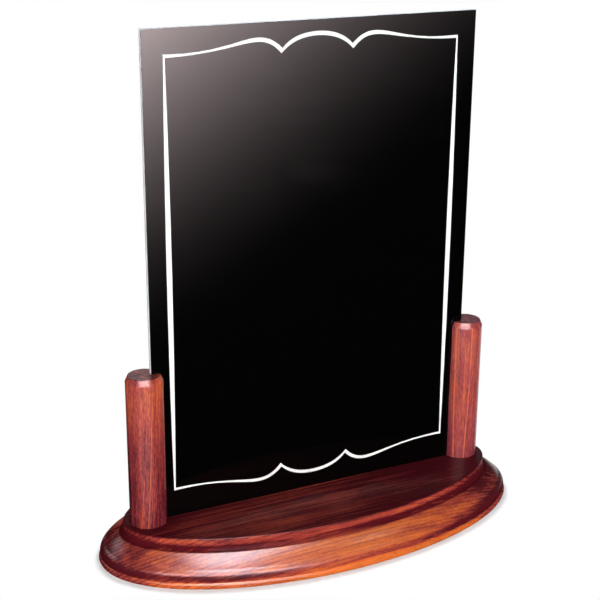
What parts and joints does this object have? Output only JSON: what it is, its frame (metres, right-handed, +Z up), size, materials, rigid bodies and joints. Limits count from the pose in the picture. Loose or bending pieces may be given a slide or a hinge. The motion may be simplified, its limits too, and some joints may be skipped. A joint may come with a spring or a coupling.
{
  "type": "table-top menu chalkboard",
  "caption": "Glossy black menu board with a white scalloped border line, standing in a moulded oval wooden base between slotted round posts; the board lifts out.",
  "frame": {"origin": "on the table under the middle of the oval base", "axes": "+X along the board to the viewer's right, -Y towards the viewer in front of the board, +Z up"},
  "size_m": [0.278, 0.136, 0.3135],
  "materials": {
    "mahogany": "red-brown stain under satin lacquer",
    "zinc_steel": "zinc plated",
    "pad_rubber": "matte",
    "white_core": "matte cut edge",
    "black_gloss": "high gloss",
    "white_ink": "screen print"
  },
  "bodies": {
    "stand": {"base": "mahogany", "post_left": "mahogany", "post_right": "mahogany", "post_screw_left": "zinc_steel", "post_screw_right": "zinc_steel", "foot_pad_front_left": "pad_rubber", "foot_pad_front_right": "pad_rubber", "foot_pad_rear_left": "pad_rubber", "foot_pad_rear_right": "pad_rubber"},
    "board": {"board_core": "white_core", "board_front_face": "black_gloss", "board_rear_face": "black_gloss", "border_front": "white_ink", "border_rear": "white_ink"}
  },
  "joints": [
    {"name": "board_lift", "type": "slide", "parent": "stand", "child": "board", "axis": [0, 0, 1], "range_m": [0, 0.1]}
  ]
}
